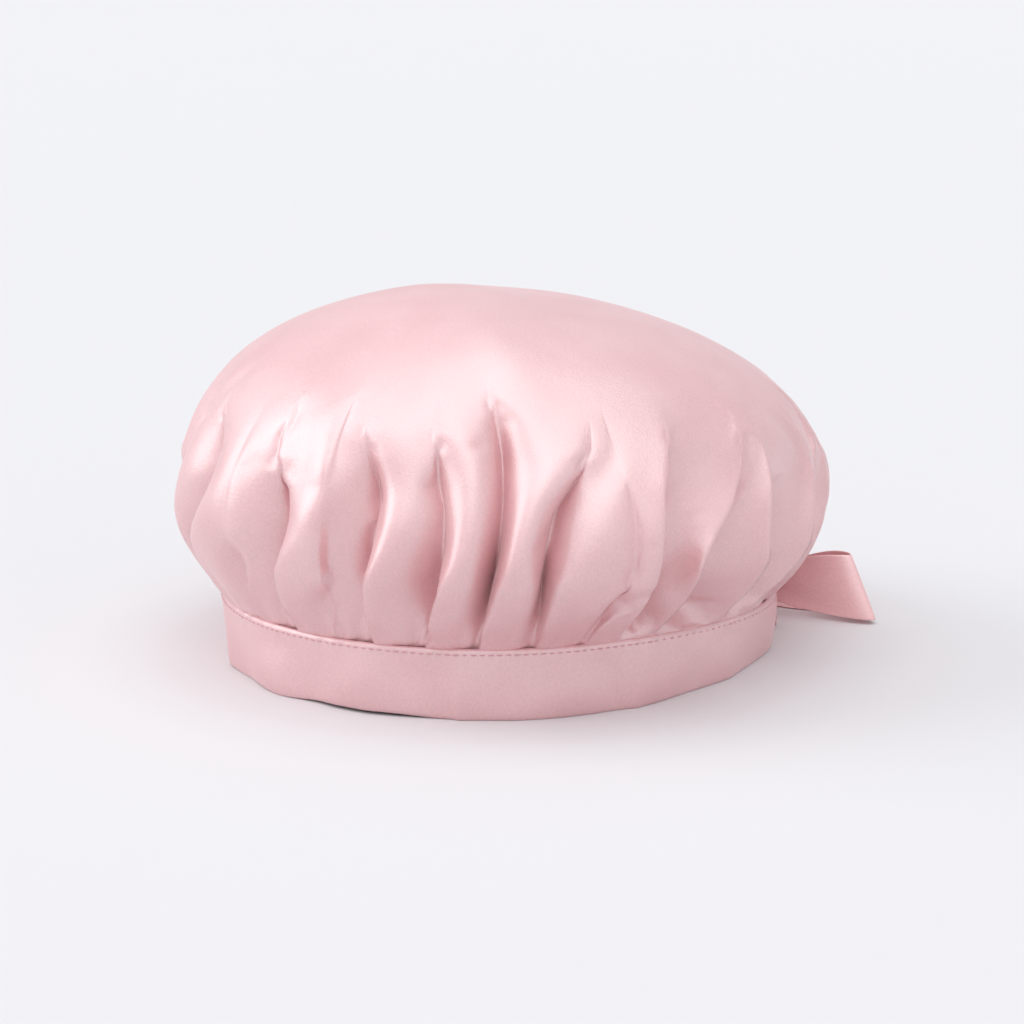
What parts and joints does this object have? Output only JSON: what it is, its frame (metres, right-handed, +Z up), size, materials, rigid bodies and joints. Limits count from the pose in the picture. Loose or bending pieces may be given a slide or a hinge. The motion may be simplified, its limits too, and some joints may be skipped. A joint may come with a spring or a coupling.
{
  "type": "silk bonnet",
  "caption": "Pink silk satin sleep bonnet with a full pleated crown gathered into a folded band, an elastic casing at the nape and a ribbon bow sewn onto it",
  "frame": {"origin": "on the table, under the middle of the bonnet's bounding box", "axes": "+Z up from the table to the top of the crown, -Y towards the forehead, +Y towards the nape and its bow, +X towards the wearer's left"},
  "size_m": [0.2184, 0.2498, 0.1226],
  "materials": {
    "satin": "satin",
    "ribbon": "satin",
    "thread": "satin",
    "interlining": "matte",
    "elastic": "matte"
  },
  "bodies": {
    "shell": {"crown_panel": "satin", "front_band": "satin", "band_interlining": "interlining", "band_topstitch": "thread", "side_tack_left": "thread", "side_tack_right": "thread"},
    "nape": {"rear_casing": "satin", "nape_elastic": "elastic", "casing_topstitch": "thread", "bow_tack": "thread", "bow_knot": "ribbon"},
    "loop_left": {"bow_loop_left": "ribbon"},
    "loop_right": {"bow_loop_right": "ribbon"},
    "tail_left": {"bow_tail_left": "ribbon"},
    "tail_right": {"bow_tail_right": "ribbon"}
  },
  "joints": [
    {"name": "nape_stretch", "type": "slide", "parent": "shell", "child": "nape", "axis": [0, 1, 0], "range_m": [0, 0.02], "stiffness_N_per_m": 220},
    {"name": "loop_left_swing", "type": "hinge", "parent": "nape", "child": "loop_left", "pos_m": [0.00921, 0.09227, 0.0092], "axis": [0, 0, 1], "range_deg": [-10, 50]},
    {"name": "loop_right_swing", "type": "hinge", "parent": "nape", "child": "loop_right", "pos_m": [-0.00921, 0.09227, 0.0092], "axis": [0, 0, -1], "range_deg": [-10, 50]},
    {"name": "tail_left_swing", "type": "hinge", "parent": "nape", "child": "tail_left", "pos_m": [0.0039, 0.09227, 0.0004], "axis": [0, 0, 1], "range_deg": [-15, 30]},
    {"name": "tail_right_swing", "type": "hinge", "parent": "nape", "child": "tail_right", "pos_m": [-0.0039, 0.09227, 0.0004], "axis": [0, 0, -1], "range_deg": [-15, 30]}
  ]
}
